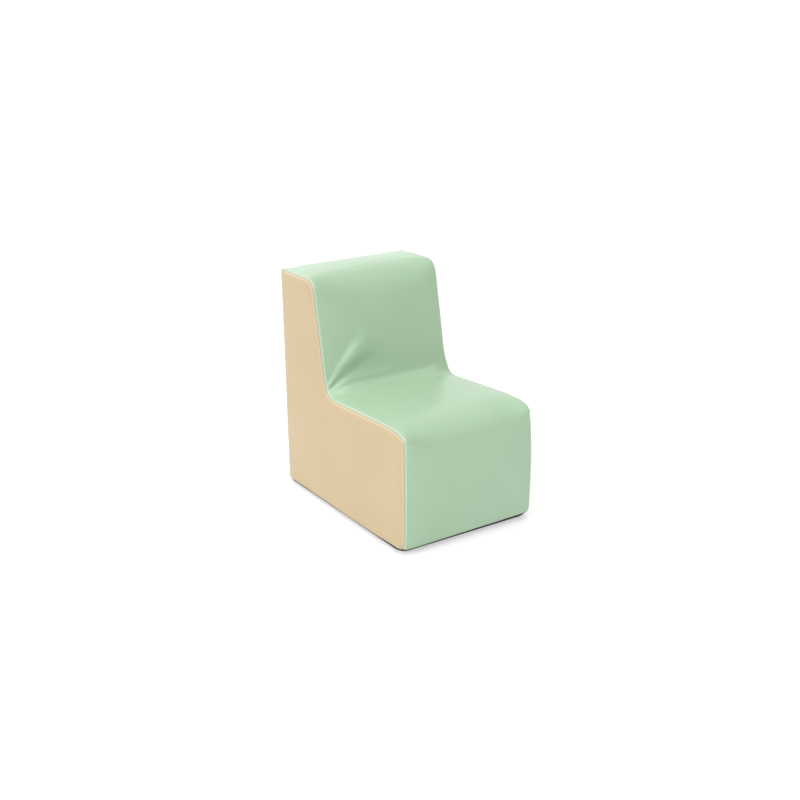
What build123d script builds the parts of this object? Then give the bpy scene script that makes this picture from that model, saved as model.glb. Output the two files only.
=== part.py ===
from build123d import *
import os
from math import atan2, cos, degrees, hypot, sin, tan

# Foam chair for small children: one contour-cut foam block in a sewn cover.
# Frame: millimetres, +Z up, the front of the seat faces -Y, and +X is to the
# right of someone who stands in front and looks at it. Left and right in the
# names are theirs. Origin: middle of the footprint, on the floor.

# ---------------------------------------------------------------- dimensions
width = 350.0            # over the two side panels
depth_floor = 510.0      # front face to rear face, at the floor
lean = 10.0              # the rear face leans back this much at the top
height = 541.0
seat_front = 280.5       # seat height at the front edge
seat_rear = 274.5        # seat height where it would meet the backrest
seat_rear_y = 321.0      # seat length to the sharp seat/back corner
back_top_y = 370.0       # front edge of the backrest top, from the front face
r_nose = 22.0            # rounded front edge of the seat
r_crook = 28.0           # hollow corner between seat and backrest
r_crest = 28.0           # rounded front edge of the backrest top
r_foot = 6.0             # the cover rolls under at the floor

skin = 1.2               # coated cover fabric
allow = 10.0             # seam allowance, turned inwards
thread = 0.5             # sewing thread

zip_lo = 44.0            # window in the rear panel that shows the zip
zip_hi = 500.0
zip_gap = 6.5            # folded edges stand this far from the centre line
tape_half = 17.0
tape_t = 0.6
coil_in = 0.55
coil_out = 3.85
coil_t = 2.6
slider_at = 62.0         # closed position of the slider's middle
slider_len = 17.0
slider_half = 5.4
slider_travel = 422.0      # to the upper stop, fully open
pull_len = 31.0

depth = depth_floor + lean
y0 = -depth / 2.0                     # front face
yr = y0 + depth_floor                 # foot of the rear face
tilt = degrees(atan2(lean, height))   # rear face off the vertical

os.makedirs("parts", exist_ok=True)


# ------------------------------------------------------------- side contour
def inset(points, d):
    """Closed polygon, counter-clockwise, moved inwards by d on every side."""
    out = []
    n = len(points)
    for i in range(n):
        (ax, ay), (bx, by), (cx, cy) = points[i - 1], points[i], points[(i + 1) % n]
        l1 = hypot(bx - ax, by - ay)
        l2 = hypot(cx - bx, cy - by)
        n1 = (-(by - ay) / l1, (bx - ax) / l1)
        n2 = (-(cy - by) / l2, (cx - bx) / l2)
        k = 1.0 + n1[0] * n2[0] + n1[1] * n2[1]
        out.append((bx + d * (n1[0] + n2[0]) / k, by + d * (n1[1] + n2[1]) / k))
    return out


# Walked from the front foot along the floor, up the rear, over the top and
# down to the seat nose: counter-clockwise with +Y to the right and +Z up.
outline = [
    (y0, 0.0),
    (yr, 0.0),
    (yr + lean, height),
    (y0 + back_top_y, height),
    (y0 + seat_rear_y, seat_rear),
    (y0, seat_front),
]


def contour(d):
    pts = inset(outline, d)
    face = make_face(Plane.YZ * Polyline(*pts, close=True))
    for i, r in ((3, r_crest - d), (4, r_crook + d), (5, r_nose - d)):
        py, pz = pts[i]
        v = [p for p in face.vertices() if abs(p.Y - py) < 0.01 and abs(p.Z - pz) < 0.01]
        face = fillet(v, r)
    return face


def prism(d, x_from, x_to):
    """The side contour, set in by d, between two planes across the chair."""
    return Pos(x_from, 0, 0) * extrude(contour(d), x_to - x_from)


def envelope(d, foot):
    """Whole chair set in by d, with its four floor edges rolled."""
    body = prism(d, -(width / 2 - d), width / 2 - d)
    floor_face = body.faces().sort_by(Axis.Z)[0]
    return fillet(floor_face.edges(), foot)


def block(x1, x2, y1, y2, z1, z2):
    return Pos((x1 + x2) / 2, (y1 + y2) / 2, (z1 + z2) / 2) * Box(x2 - x1, y2 - y1, z2 - z1)


# The rear face has its own frame: x across, n out of the face, s up the face.
rear = Location((0, yr, 0), (-tilt, 0, 0))


def rblock(x1, x2, n1, n2, s1, s2):
    return rear * block(x1, x2, n1, n2, s1, s2)


hw = width / 2
outer = envelope(0.0, r_foot)
inner = envelope(skin, r_foot - skin)
shell = outer - inner

# The three regions of the cover, each a plain cutter.
cut_right = block(hw - skin, hw + 5, -400, 400, -5, 600) + block(hw - r_foot, hw + 5, -400, 400, -5, 12)
cut_left = mirror(cut_right, about=Plane.YZ)
cut_rear = rblock(-hw - 9, hw + 9, -skin, 9, -20, 560) + block(-hw - 9, hw + 9, yr - r_foot, yr + 9, -5, 12)
cut_rear = cut_rear - cut_right - cut_left
bx, by1, by2 = hw - r_foot, y0 + r_foot, yr - r_foot
cut_base = block(-bx, bx, by1, by2, -5, skin)

# --------------------------------------------------------------- base panel
# Anti-slip fabric on the floor, its edge turned up inside all round.
base_panel = block(-bx, bx, by1, by2, 0, allow) - block(-bx + skin, bx - skin, by1 + skin, by2 - skin, skin, allow + 1)

# The covers' own edges stand up round it, outside that turned-up edge.
rim = block(-bx - skin, bx + skin, by1 - skin, by2 + skin, 0.0, allow) - block(-bx, bx, by1, by2, -1, allow + 1)
rim = rim & inner

# --------------------------------------------------------- seam allowances
# Along each side seam the band is folded back under itself (layer one) and
# the side panel is turned in below it (layer two).
z_seam = 12.0


def ring(d1, d2, side):
    x_in, x_out = hw - skin - allow, hw - skin
    r = prism(d1, x_in, x_out) - prism(d2, x_in - 1, x_out + 1)
    r = r & block(x_in, x_out, -400, 400, z_seam, 600)
    return r if side > 0 else mirror(r, about=Plane.YZ)


top_l1 = block(-(hw - skin - allow), hw - skin - allow, yr + lean - skin - allow, yr + lean, height - 2 * skin, height - skin) & prism(skin, -hw, hw)
top_l2 = block(-(hw - skin - allow), hw - skin - allow, yr + lean - skin - allow, yr + lean, height - 3 * skin, height - 2 * skin) & prism(skin, -hw, hw)

rings = {s: (ring(skin, 2 * skin, s), ring(2 * skin, 3 * skin, s)) for s in (1, -1)}
rear_zone = rblock(-hw - 9, hw + 9, -2 * skin, 9, -20, 560)

# -------------------------------------------------------------- side panels
def side_panel(s):
    cut = cut_right if s > 0 else cut_left
    p = (shell & cut) - cut_base
    p = p + rings[s][1]
    p = p + (rim & cut)
    return p


side_right = side_panel(1)
side_left = side_panel(-1)

# --------------------------------------------------------------- front band
# One strip: front, seat, backrest and top.
band = shell - cut_right - cut_left - cut_rear - cut_base
band = band + (rings[1][0] - rear_zone) + (rings[-1][0] - rear_zone) + top_l1
band = band + ((rim - cut_right - cut_left) & block(-400, 400, -400, 0, -5, 50))

# --------------------------------------------------------------- rear halves
rear_all = (shell & cut_rear) - cut_base
rear_all = rear_all + (rings[1][0] & rear_zone) + (rings[-1][0] & rear_zone) + top_l2
rear_all = rear_all + ((rim - cut_right - cut_left) & block(-400, 400, 0, 400, -5, 50))
window = rblock(-zip_gap, zip_gap, -20, 9, zip_lo, zip_hi)
fold = rblock(zip_gap, zip_gap + 12, -2 * skin, -skin, zip_lo - 6, zip_hi + 6)
fold_r = fold
fold_l = mirror(fold, about=Plane.YZ)
rear_right = (rear_all & block(0, 400, -400, 400, -5, 600)) - window + fold_r
rear_left = (rear_all & block(-400, 0, -400, 400, -5, 600)) - window + fold_l

# ----------------------------------------------------------------------- zip
n_tape = -2 * skin
n_back = n_tape - tape_t
n_top = n_tape + coil_t
tape_r = rblock(coil_in, tape_half, n_back, n_tape, zip_lo - 5, zip_hi + 5)
tape_l = mirror(tape_r, about=Plane.YZ)
coil_r = rblock(coil_in, coil_out, n_tape, n_top, zip_lo + 0.5, zip_hi - 0.5)
coil_l = mirror(coil_r, about=Plane.YZ)

s0 = slider_at
hl = slider_len / 2


def plate(n1, n2, tail):
    """Slider plate: broad at the leading (lower) end, drawn in at the tail."""
    pts = [(-slider_half, -hl + 2.5), (-slider_half + 2.5, -hl), (slider_half - 2.5, -hl),
           (slider_half, -hl + 2.5), (slider_half, 0.5), (tail, hl - 1.2), (tail - 1.2, hl),
           (-tail + 1.2, hl), (-tail, hl - 1.2), (-slider_half, 0.5)]
    f = make_face(Polyline(*[(x, 0, s0 + s) for x, s in pts], close=True))
    e = extrude(f, amount=n2 - n1, dir=(0, 1, 0))
    return Pos(0, n1, 0) * e


top_plate = plate(n_top + 0.35, n_top + 1.45, 4.7)
bottom_plate = plate(n_back - 1.3, n_back - 0.25, 4.7)
top_plate = fillet(top_plate.faces().sort_by(Axis.Y)[-1].edges(), 0.35)
lips = plate(n_tape + 0.25, n_top + 0.45, 4.7) - (Pos(0, 0, 0) * block(-4.35, 4.35, -20, 20, s0 - hl - 1, s0 + 0.5))
lips = lips - block(-4.0, 4.0, -20, 20, s0 + 0.4, s0 + hl + 1) - block(-6, 6, -20, 20, s0 + hl - 3.0, s0 + hl + 1)
web = block(-0.4, 0.4, n_back - 0.3, n_top + 0.4, s0 - hl + 0.6, s0 - hl + 4.2)
n_plate = n_top + 1.45
bail = block(-0.65, 0.65, n_plate - 0.4, n_plate + 2.8, s0 - 4.5, s0 + 4.5)
bail = fillet(bail.edges().filter_by(Axis.X).sort_by(Axis.Y)[-2:], 1.3)
bail = bail - block(-2, 2, n_plate, n_plate + 1.6, s0 - 3.1, s0 + 3.1)
slider = rear * (top_plate + bottom_plate + lips + web + bail)

# Pull tab: its cross bar lies in the bail and the tab hangs plumb from it.
bar_r = 0.6
s_bar = s0 - 2.3
n_bar = n_plate + 0.8
bar_y = yr + n_bar * cos(-tilt * 0.017453292519943295) + s_bar * sin(tilt * 0.017453292519943295)
bar_z = s_bar * cos(tilt * 0.017453292519943295) - n_bar * sin(tilt * 0.017453292519943295)
eye = 4.6
tab_pts = [(-2.3, 0.2), (2.3, 0.2), (2.3, -eye - 1.0), (3.3, -eye - 3.0), (4.2, -pull_len + 4.0),
           (4.2, -pull_len + 1.6), (2.8, -pull_len), (-2.8, -pull_len), (-4.2, -pull_len + 1.6),
           (-4.2, -pull_len + 4.0), (-3.3, -eye - 3.0), (-2.3, -eye - 1.0)]
tab = extrude(make_face(Polyline(*[(x, 0, z) for x, z in tab_pts], close=True)), amount=0.6, dir=(0, 1, 0), both=True)
tab = tab - block(-1.05, 1.05, -3, 3, -eye, 0.0 + 3) - block(-9, 9, -3, 3, -0.0, 3)
tab = tab - block(-1.6, 1.6, -3, 3, -pull_len + 3.0, -pull_len + 8.0)
tab = tab + Rot(0, 90, 0) * Cylinder(bar_r, 4.6)
pull = Pos(0, bar_y, bar_z) * tab

# Metal stops: one bridge above the slider's travel, a pair below it.
stop_hi = rblock(-4.6, 4.6, n_top + 0.0, n_top + 0.6, zip_hi - 6.6, zip_hi - 3.2)
stop_hi = stop_hi + rblock(4.0, 4.6, n_tape, n_top + 0.1, zip_hi - 6.6, zip_hi - 3.2)
stop_hi = stop_hi + rblock(-4.6, -4.0, n_tape, n_top + 0.1, zip_hi - 6.6, zip_hi - 3.2)
lo_r = rblock(0.6, 4.6, n_top, n_top + 0.6, zip_lo + 5.0, zip_lo + 8.6)
lo_r = lo_r + rblock(4.0, 4.6, n_tape, n_top + 0.1, zip_lo + 5.0, zip_lo + 8.6)
stop_lo = Compound(children=[lo_r, mirror(lo_r, about=Plane.YZ)])

# ------------------------------------------------------------------- threads
def seam_ring(side):
    x1 = hw - skin - 1.6
    r = prism(3 * skin, x1, x1 + thread) - prism(3 * skin + thread, x1 - 1, x1 + 2)
    r = r & block(x1 - 1, x1 + 2, -400, 400, z_seam, 600)
    return r if side > 0 else mirror(r, about=Plane.YZ)


thread_right = seam_ring(1)
thread_left = seam_ring(-1)
thread_top = block(-(hw - skin - allow), hw - skin - allow, yr + lean - skin - 2.6, yr + lean - skin - 2.6 + thread,
                   height - 3 * skin - thread, height - 3 * skin)
thread_base = block(-bx + skin, bx - skin, by1 + skin, by2 - skin, skin + 1.0, skin + 1.0 + thread)
thread_base = thread_base - block(-bx + skin + thread, bx - skin - thread, by1 + skin + thread, by2 - skin - thread, 0, 9)

# Two rows of visible stitches beside the zip.
pitch = 4.2
stitch_r, stitch_l = [], []
for i in range(110):
    s = zip_lo - 1.0 + 2.4 + i * pitch
    if s + 1.7 > zip_hi + 3.0:
        break
    stitch_r.append(rblock(9.2, 9.9, 0.0, 0.4, s - 1.6, s + 1.6))
    stitch_l.append(rblock(-9.9, -9.2, 0.0, 0.4, s - 1.6, s + 1.6))
stitches_right = Compound(children=stitch_r)
stitches_left = Compound(children=stitch_l)

# ----------------------------------------------------------------- foam core
foam = inner
foam = foam - rings[1][0] - rings[1][1] - rings[-1][0] - rings[-1][1]
foam = foam - top_l1 - top_l2 - rim - base_panel - thread_base
foam = foam - thread_right - thread_left - thread_top
foam = foam - rblock(-19.5, 19.5, n_back, 5, zip_lo - 8, zip_hi + 8)
foam = foam - rblock(-7.0, 7.0, n_back - 1.8, 5, zip_lo - 8, zip_hi + 8)

nodes = {
    "foam_core": foam,
    "cover_front_band": band,
    "cover_left_side": side_left,
    "cover_right_side": side_right,
    "cover_rear_left": rear_left,
    "cover_rear_right": rear_right,
    "base_panel": base_panel,
    "zip_tape_left": tape_l,
    "zip_tape_right": tape_r,
    "zip_coil_left": coil_l,
    "zip_coil_right": coil_r,
    "zip_slider": slider,
    "zip_pull": pull,
    "zip_stop_upper": stop_hi,
    "zip_stops_lower": stop_lo,
    "zip_stitches_left": stitches_left,
    "zip_stitches_right": stitches_right,
    "seam_thread_left": thread_left,
    "seam_thread_right": thread_right,
    "seam_thread_top": thread_top,
    "seam_thread_base": thread_base,
}

for name, shape in nodes.items():
    export_step(shape, f"parts/{name}.step")
    print(name, len(shape.solids()), round(shape.volume, 1))

print("pull pivot, mm:", 0.0, round(bar_y, 4), round(bar_z, 4))
print("rear face up direction:", 0.0, round(sin(tilt * 0.017453292519943295), 6), round(cos(tilt * 0.017453292519943295), 6))
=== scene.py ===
import math

import bpy
import numpy as np
from mathutils import Matrix, Vector, noise
from mathutils.geometry import delaunay_2d_cdt


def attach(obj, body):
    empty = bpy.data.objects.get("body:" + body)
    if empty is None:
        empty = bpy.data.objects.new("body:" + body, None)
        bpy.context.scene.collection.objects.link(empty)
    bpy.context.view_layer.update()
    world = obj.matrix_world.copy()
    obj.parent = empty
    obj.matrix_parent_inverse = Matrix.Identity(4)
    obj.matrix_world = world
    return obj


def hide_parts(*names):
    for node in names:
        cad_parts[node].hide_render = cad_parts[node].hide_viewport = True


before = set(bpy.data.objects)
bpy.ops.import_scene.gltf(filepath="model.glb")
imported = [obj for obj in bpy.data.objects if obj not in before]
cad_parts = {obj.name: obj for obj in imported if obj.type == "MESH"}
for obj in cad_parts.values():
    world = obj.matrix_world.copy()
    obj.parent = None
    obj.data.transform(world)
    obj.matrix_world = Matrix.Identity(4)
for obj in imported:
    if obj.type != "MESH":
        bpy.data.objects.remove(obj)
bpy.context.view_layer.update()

# Lengths below are millimetres in the model's frame: +Z up, the seat's front
# faces -Y, origin in the middle of the footprint. Meshes are written in metres.
MM = 0.001
HW = 175.0                      # side seams stand this far from the middle
Y_FRONT, Y_FOOT, LEAN, TOP = -260.0, 250.0, 10.0, 541.0
Z_HEM = 10.0                    # height of the seam that joins cover and base, in front
TILT = math.atan2(LEAN, TOP)
CT, ST = math.cos(TILT), math.sin(TILT)


# ------------------------------------------------------------------ helpers
def unit(v):
    v = np.asarray(v, float)
    return v / np.linalg.norm(v)


def smooth(x, a, b):
    t = np.clip((np.asarray(x, float) - a) / (b - a), 0.0, 1.0)
    return t * t * (3.0 - 2.0 * t)


def bump(x, centre, width):
    return np.exp(-((np.asarray(x, float) - centre) / width) ** 2)


def soft_noise(p, size, seed):
    """Smooth noise of about -1 to 1 at points p (n, 3) in millimetres."""
    out = np.empty(len(p))
    off = Vector((seed * 13.7, seed * 7.3, seed * 3.1))
    for i, (x, y, z) in enumerate(p):
        out[i] = noise.noise(Vector((x / size, y / size, z / size)) + off)
    return out


def make_object(name, points, faces, material, smooth_shade=True, extra=()):
    me = bpy.data.meshes.new(name)
    me.from_pydata((np.asarray(points) * MM).tolist(), [], [list(map(int, f)) for f in faces])
    me.validate(clean_customdata=False)
    ob = bpy.data.objects.new(name, me)
    bpy.context.scene.collection.objects.link(ob)
    me.materials.append(material)
    for m in extra:
        me.materials.append(m)
    for p in me.polygons:
        p.use_smooth = smooth_shade
    return ob


def set_painted_light(ob, values, deep):
    """Store how much painted highlight (paler rolled seam lips) and painted shade (darker seam groove) each vertex
    carries.
    """
    for label, v in (("painted_highlight", values), ("groove", deep)):
        at = ob.data.attributes.new(label, "FLOAT", "POINT")
        at.data.foreach_set("value", np.asarray(v, np.float32))


def grid_faces(rows, cols, flip=False):
    i = np.arange((rows - 1) * cols).reshape(rows - 1, cols)[:, :-1]
    a, b, c, d = i, i + 1, i + 1 + cols, i + cols
    f = np.stack([a, b, c, d], -1).reshape(-1, 4)
    return f[:, ::-1] if flip else f


def thicken(ob, t=1.1):
    m = ob.modifiers.new("Cloth thickness", "SOLIDIFY")
    m.thickness = t * MM
    m.offset = -1.0
    m.use_rim = True
    return ob


# ----------------------------------------------------------- side contours
def bez(p0, p1, p2, p3, t):
    t = t[:, None]
    return (1 - t) ** 3 * p0 + 3 * (1 - t) ** 2 * t * p1 + 3 * (1 - t) * t * t * p2 + t ** 3 * p3


T_FOOT = np.array([0, 0.3, 0.8, 1.5, 2.4, 3.6, 5.1, 7, 9.3, 12, 15.5, 20, 26, 33, 41]) / 230.0
T_FRONT = np.concatenate([T_FOOT, np.linspace(50 / 230.0, 1.0, 26)[:-1]])
T_NOSE = np.linspace(0, 1, 44)[:-1]
T_SEAT = np.linspace(0, 1, 30)[:-1]
T_CROOK = np.linspace(0, 1, 46)[:-1]
T_BACK = np.linspace(0, 1, 40)[:-1]
T_CREST = np.linspace(0, 1, 34)[:-1]


def contour(corners):
    """Rows of (y, z) from the hem up the front, over seat and backrest to the top.

    corners: for nose, crook and crest the sharp corner (y, z), the lengths the
    curve takes before and after it, and how hard it is pulled into it."""
    a = np.array([Y_FRONT, Z_HEM])
    e = np.array([Y_FOOT + LEAN, TOP])
    pts = [a] + [np.array(c[0], float) for c in corners] + [e]
    rows, s, at = [], [], a
    tags = [T_FRONT, T_SEAT, T_BACK]
    curves = [T_NOSE, T_CROOK, T_CREST]
    for i, (c, lb, la, h) in enumerate(corners):
        v = pts[i + 1]
        d1, d2 = unit(v - pts[i]), unit(pts[i + 2] - v)
        p0, p3 = v - d1 * lb, v + d2 * la
        t = tags[i][:, None]
        rows.append(at + (p0 - at) * t)
        s.append(np.column_stack([np.full(len(t), i), tags[i]]))
        rows.append(bez(p0, v - d1 * lb * (1 - h), v + d2 * la * (1 - h), p3, curves[i]))
        s.append(np.column_stack([np.full(len(curves[i]), i + 0.5), curves[i]]))
        at = p3
    # the top, up to the rear seam: fine rows where it rolls into the seam
    length = np.linalg.norm(e - at)
    d = unit(e - at)
    inward = [q if q <= 28 else 28 + (length - 28) * (q - 28) / 67.0 for q in TOP_IN]
    rows.append(np.array([e - d * q for q in inward][::-1]))
    s.append(np.column_stack([np.full(len(inward), 3), np.array(inward[::-1])]))
    return np.vstack(rows), np.vstack(s)


# A sewn edge seen across the seam: how far in from the corner line, how far out.
LIP = np.array([(3.0, -4.0), (2.1, -3.55), (1.35, -2.85), (0.95, -2.0), (0.85, -1.15), (1.05, -0.35),
                (1.5, 0.4), (2.2, 1.1), (3.1, 1.7), (4.2, 2.2), (5.5, 2.6), (7.0, 2.9)])
RUN = np.array([8.6, 10.5, 13, 16, 19.5, 23.5, 28])
TOP_IN = list(LIP[:, 0]) + list(RUN) + list(np.arange(33, 96, 4.77)[:14])


def swell(a, full, reach):
    """Height of a face over its seams, a from the seam, beyond the lip."""
    return LIP[-1, 1] + (full - LIP[-1, 1]) * (1 - np.exp(-(np.maximum(a, LIP[-1, 0]) - LIP[-1, 0]) / reach))


SEAM = [((Y_FRONT - 0.4, 283.6), 23.3, 107.0, 0.72),
        ((61.7, 273.2), 52.6, 67.3, 0.90),
        ((114.0, TOP), 40.7, 36.0, 0.81)]
MIDDLE = [((Y_FRONT - 1.0, 284.6), 46.0, 100.0, 0.66),
          ((59.0, 283.0), 52.0, 60.0, 0.66),
          ((112.0, TOP + 1.2), 60.0, 58.0, 0.74)]


# --------------------------------------------------- how the cover is drawn in
def tucked(z, depth, height):
    """How far a wall has rolled under at height z: a quarter ellipse."""
    t = np.clip((height - z) / height, 0.0, 1.0)
    return depth * (1.0 - np.sqrt(1.0 - t * t))


BULGE_Z = [0, 8, 24, 41, 66, 105, 142, 177, 207, 228, 250]
BULGE_X = [1.2, 1.6, 1.9, 2.0, 2.1, 2.3, 2.3, 2.0, 1.1, 0.5, 0.0]
BULGE_Y = [2.4, 3.2, 3.9, 4.2, 4.4, 4.7, 4.7, 4.3, 2.6, 1.3, 0.0]


def drawn_in(p):
    """What the stretched cover does to the block: it rolls under at the floor,
    rounds the bottom corners, bulges low down and pulls in at the right edge."""
    q = np.array(p, float)
    x, y, z = q[:, 0].copy(), q[:, 1].copy(), q[:, 2].copy()
    # the foam block swells a little under its own weight, most at the front
    ahead = smooth(-y, -150, 262)
    x = x + x / HW * np.interp(z, BULGE_Z, BULGE_X) * (0.15 + 0.85 * ahead)
    y = y - np.interp(z, BULGE_Z, BULGE_Y) * ahead ** 1.5
    # the right edge sits a little lower at the back of the seat, higher in front
    w = smooth(q[:, 0], 40, 175)
    on_seat = smooth(z, 225, 262) * (1 - smooth(z, 300, 330))
    z = z + w * on_seat * np.interp(y, [-262, -235, -160, -70, 20, 70, 100], [0.3, 2.6, 2.4, -0.2, -3.4, -2.6, 0])
    y = y + w * 3.0 * bump(z, 262, 20) * smooth(-y, 225, 255)
    face = smooth(z, 285, 330) * smooth(190 - y, 0, 70)
    y = y + w * face * 3.4
    x = x - w * face * 1.6
    z = z + w * 2.6 * smooth(z, 515, 541) * smooth(y, 105, 135) * (1 - smooth(y, 190, 250))
    # the left end of the top rear edge dips beside its corner
    z = z - 2.6 * np.exp(-((x + 152) / 24) ** 2) * smooth(z, 480, 541) * smooth(y, 190, 256)
    # the front hem is drawn up, more towards the right
    rise = (3.0 + 4.5 * np.clip((q[:, 0] + HW) / (2 * HW), 0, 1)) * smooth(-q[:, 1], 90, 256)
    z = z + rise * np.where(z < Z_HEM, z / Z_HEM, 1 - smooth(z, Z_HEM, 70))
    # rolled under
    y = y + 5.0
    hy = 255.0 + np.where(y > 0, 10.0 * z / TOP, 0.0)
    fx = tucked(z, 3.2, 13.0)
    fy = np.where(y < 0, tucked(z, 20.0, 33.0), tucked(z, 9.0, 20.0))
    x = x * (1 - fx / HW)
    y = y * (1 - fy / hy)
    rc = np.where(y < 0, 22.0 * np.clip(1 - z / 30.0, 0, 1) ** 1.4, 11.0 * np.clip(1 - z / 16.0, 0, 1) ** 1.2) + 1e-6
    vx, vy = np.abs(x) - (HW - fx - rc), np.abs(y) - (hy - fy - rc)
    m = (vx > 0) & (vy > 0)
    n = np.hypot(vx, vy)
    k = np.where(m, np.maximum(vx, vy) / np.maximum(n, 1e-9), 1.0)
    k = 1 - (1 - k) * np.clip(rc / 2.0, 0, 1)
    x = np.where(m, np.sign(x) * (HW - fx - rc + vx * k), x)
    y = np.where(m, np.sign(y) * (hy - fy - rc + vy * k), y)
    q = np.column_stack([x, y - 5.0, z])
    # the top rear corners, where three seams meet, stand out a little
    for sx in (-1, 1):
        c = np.array([sx * HW, Y_FOOT + LEAN, TOP])
        w = np.exp(-(np.linalg.norm(q - c, axis=1) / 9.0) ** 2)
        q += w[:, None] * np.array([sx * 0.6, 0.8, 1.4])
    return q


# ----------------------------------------------------------------- materials
def nodes_of(mat):
    mat.use_nodes = True
    nt = mat.node_tree
    nt.nodes.clear()
    out = nt.nodes.new("ShaderNodeOutputMaterial")
    sh = nt.nodes.new("ShaderNodeBsdfPrincipled")
    nt.links.new(sh.outputs[0], out.inputs[0])
    return nt, sh


def node(nt, kind, **values):
    n = nt.nodes.new(kind)
    for k, v in values.items():
        if k in n.inputs:
            n.inputs[k].default_value = v
        else:
            setattr(n, k, v)
    return n


def object_coords(nt, scale=(1, 1, 1)):
    tc = nt.nodes.new("ShaderNodeTexCoord")
    mp = nt.nodes.new("ShaderNodeMapping")
    mp.inputs["Scale"].default_value = scale
    nt.links.new(tc.outputs["Object"], mp.inputs["Vector"])
    return mp.outputs["Vector"]


def ramp(nt, fac, stops):
    r = nt.nodes.new("ShaderNodeValToRGB")
    els = r.color_ramp.elements
    while len(els) < len(stops):
        els.new(0.5)
    for e, (pos, col) in zip(els, stops):
        e.position = pos
        e.color = (*col, 1.0) if len(col) == 3 else col
    nt.links.new(fac, r.inputs[0])
    return r.outputs[0]


def maths(nt, op, a, b=None, clamp=False):
    n = nt.nodes.new("ShaderNodeMath")
    n.operation = op
    n.use_clamp = clamp
    for i, v in enumerate((a, b)):
        if v is None:
            continue
        if isinstance(v, (int, float)):
            n.inputs[i].default_value = v
        else:
            nt.links.new(v, n.inputs[i])
    return n.outputs[0]


def coated_fabric(name, base, dark, light, rough=0.42, highlight_amount=0.10):
    """Smooth coated fabric: fine pressed grain, soft unevenness in colour and gloss."""
    mat = bpy.data.materials.new(name)
    nt, sh = nodes_of(mat)
    co = object_coords(nt)
    big = node(nt, "ShaderNodeTexNoise", Scale=7.0, Detail=3.0, Roughness=0.55)
    nt.links.new(co, big.inputs["Vector"])
    col = ramp(nt, big.outputs[0], [(0.30, dark), (0.5, base), (0.72, light)])
    # painted highlight: the colour is mixed paler over the rolled seam edges, where they catch the light
    painted_highlight = node(nt, "ShaderNodeAttribute")
    painted_highlight.attribute_name = "painted_highlight"
    pale = node(nt, "ShaderNodeMix")
    pale.data_type = "RGBA"
    nt.links.new(painted_highlight.outputs["Fac"], pale.inputs["Factor"])
    nt.links.new(col, pale.inputs["A"])
    for s_ in pale.inputs:
        if s_.name == "B" and s_.type == "RGBA":
            s_.default_value = (*[min(0.95, v + (0.92 - v) * highlight_amount) for v in light], 1.0)
        if s_.name == "A" and s_.type == "RGBA":
            nt.links.new(col, s_)
    mixed = [o_ for o_ in pale.outputs if o_.type == "RGBA"][0]
    # painted shade: darker down in the seam groove, where shade falls
    deep = node(nt, "ShaderNodeAttribute")
    deep.attribute_name = "groove"
    groove_shade_mix = node(nt, "ShaderNodeMix")
    groove_shade_mix.data_type = "RGBA"
    nt.links.new(deep.outputs["Fac"], groove_shade_mix.inputs["Factor"])
    for s_ in groove_shade_mix.inputs:
        if s_.name == "A" and s_.type == "RGBA":
            nt.links.new(mixed, s_)
        if s_.name == "B" and s_.type == "RGBA":
            s_.default_value = (dark[0] * 0.62, dark[1] * 0.56, dark[2] * 0.50, 1.0)
    nt.links.new([o_ for o_ in groove_shade_mix.outputs if o_.type == "RGBA"][0], sh.inputs["Base Color"])
    # gloss: large soft patches plus a fine breakup by the grain
    mid = node(nt, "ShaderNodeTexNoise", Scale=26.0, Detail=4.0, Roughness=0.6)
    nt.links.new(co, mid.inputs["Vector"])
    r1 = maths(nt, "MULTIPLY", mid.outputs[0], 0.12)
    r2 = maths(nt, "ADD", r1, rough - 0.06)
    # grain: small pebbles about 0.7 mm across, broken by finer noise
    peb = node(nt, "ShaderNodeTexVoronoi", Scale=1350.0)
    peb.feature = "F1"
    warp = node(nt, "ShaderNodeTexNoise", Scale=900.0, Detail=2.0)
    nt.links.new(co, warp.inputs["Vector"])
    mixv = nt.nodes.new("ShaderNodeVectorMath")
    mixv.operation = "MULTIPLY_ADD"
    nt.links.new(warp.outputs[1], mixv.inputs[0])
    mixv.inputs[1].default_value = (0.0006, 0.0006, 0.0006)
    nt.links.new(co, mixv.inputs[2])
    nt.links.new(mixv.outputs[0], peb.inputs["Vector"])
    fine = node(nt, "ShaderNodeTexNoise", Scale=2600.0, Detail=2.0, Roughness=0.6)
    nt.links.new(co, fine.inputs["Vector"])
    h = maths(nt, "ADD", maths(nt, "MULTIPLY", peb.outputs[0], 0.8), maths(nt, "MULTIPLY", fine.outputs[0], 0.35))
    b1 = node(nt, "ShaderNodeBump", Strength=0.16, Distance=0.0002)
    nt.links.new(h, b1.inputs["Height"])
    # slow hand: slight unevenness of the foam under the cover
    slow = node(nt, "ShaderNodeTexNoise", Scale=16.0, Detail=2.0, Roughness=0.5)
    nt.links.new(co, slow.inputs["Vector"])
    b2 = node(nt, "ShaderNodeBump", Strength=0.25, Distance=0.0012)
    nt.links.new(slow.outputs[0], b2.inputs["Height"])
    nt.links.new(b1.outputs[0], b2.inputs["Normal"])
    nt.links.new(b2.outputs[0], sh.inputs["Normal"])
    gr = maths(nt, "MULTIPLY", peb.outputs[0], 0.05)
    nt.links.new(maths(nt, "ADD", r2, gr, clamp=True), sh.inputs["Roughness"])
    sh.inputs["Specular IOR Level"].default_value = 0.6
    sh.inputs["IOR"].default_value = 1.5
    return mat


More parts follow.
